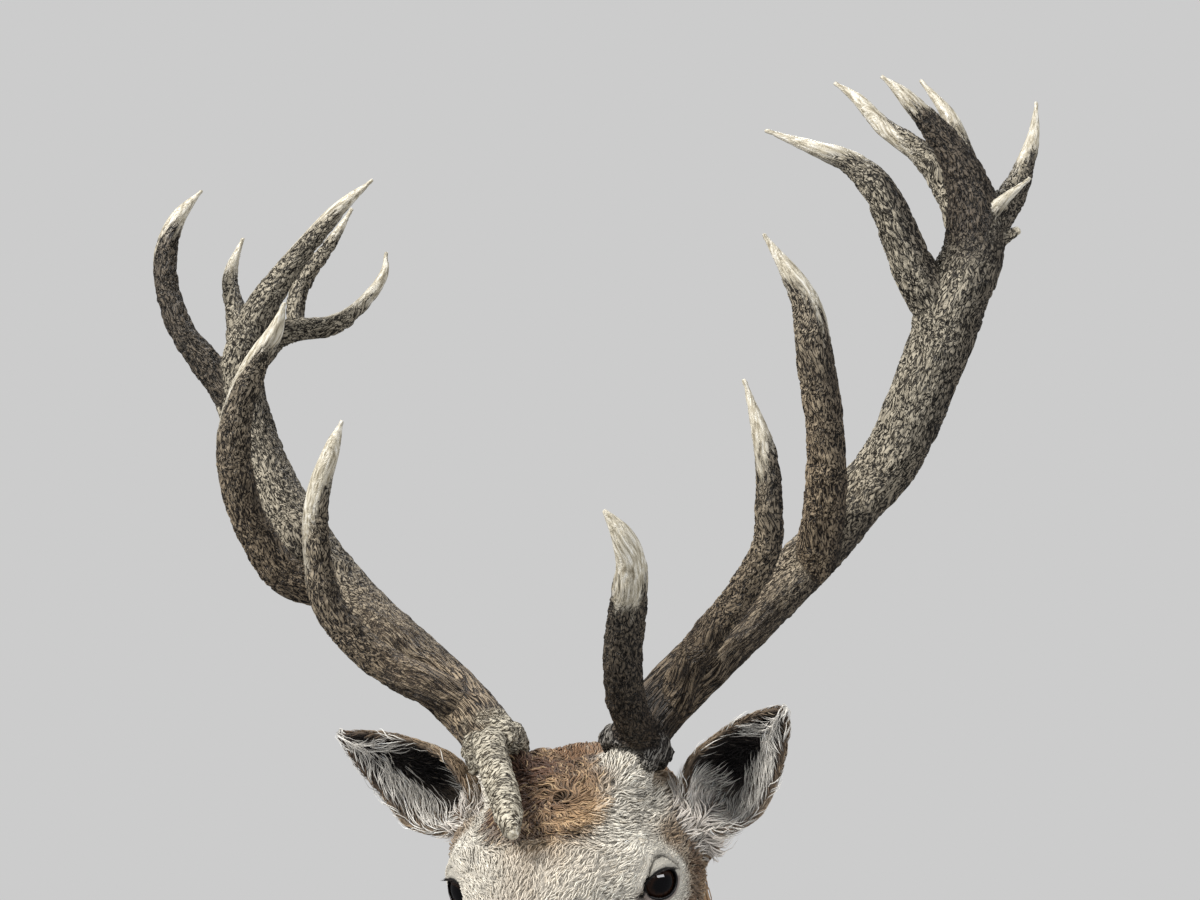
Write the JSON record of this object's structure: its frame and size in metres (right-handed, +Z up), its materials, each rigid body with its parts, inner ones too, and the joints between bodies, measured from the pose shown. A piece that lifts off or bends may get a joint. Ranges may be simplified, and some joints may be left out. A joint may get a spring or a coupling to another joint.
{
  "type": "red deer stag head mount",
  "caption": "Life-size still model of a red deer stag's head with multi-tined antlers, grizzled face and maned neck on a wooden wall shield.",
  "frame": {"origin": "centre of the wooden shield's back face, where it rests on the wall", "axes": "+Z up along the shield, +Y into the wall, +X to the viewer's right; the stag looks along -Y with its head turned towards -X"},
  "size_m": [0.7208, 0.6616, 1.2638],
  "materials": {
    "antler": "satin",
    "face_coat": "matte",
    "mane_coat": "matte",
    "eye_glass": "gloss",
    "board_wood": "satin"
  },
  "bodies": {
    "root": {"antler_left_base": "antler", "antler_left_beam": "antler", "antler_left_crown": "antler", "antler_left_crown_main": "antler", "antler_left_brow": "antler", "antler_left_bez": "antler", "antler_left_trez": "antler", "antler_left_crown_front": "antler", "antler_left_crown_inner": "antler", "antler_left_crown_back": "antler", "antler_left_crown_outer": "antler", "antler_right_base": "antler", "antler_right_beam": "antler", "antler_right_crown": "antler", "antler_right_crown_main": "antler", "antler_right_brow": "antler", "antler_right_bez": "antler", "antler_right_trez": "antler", "antler_right_crown_outer": "antler", "antler_right_crown_spur": "antler", "antler_right_crown_inner": "antler", "antler_right_crown_back": "antler", "head": "face_coat", "ear_left": "face_coat", "ear_right": "face_coat", "eye_left": "eye_glass", "eye_right": "eye_glass", "neck": "mane_coat", "board": "board_wood"}
  },
  "joints": []
}
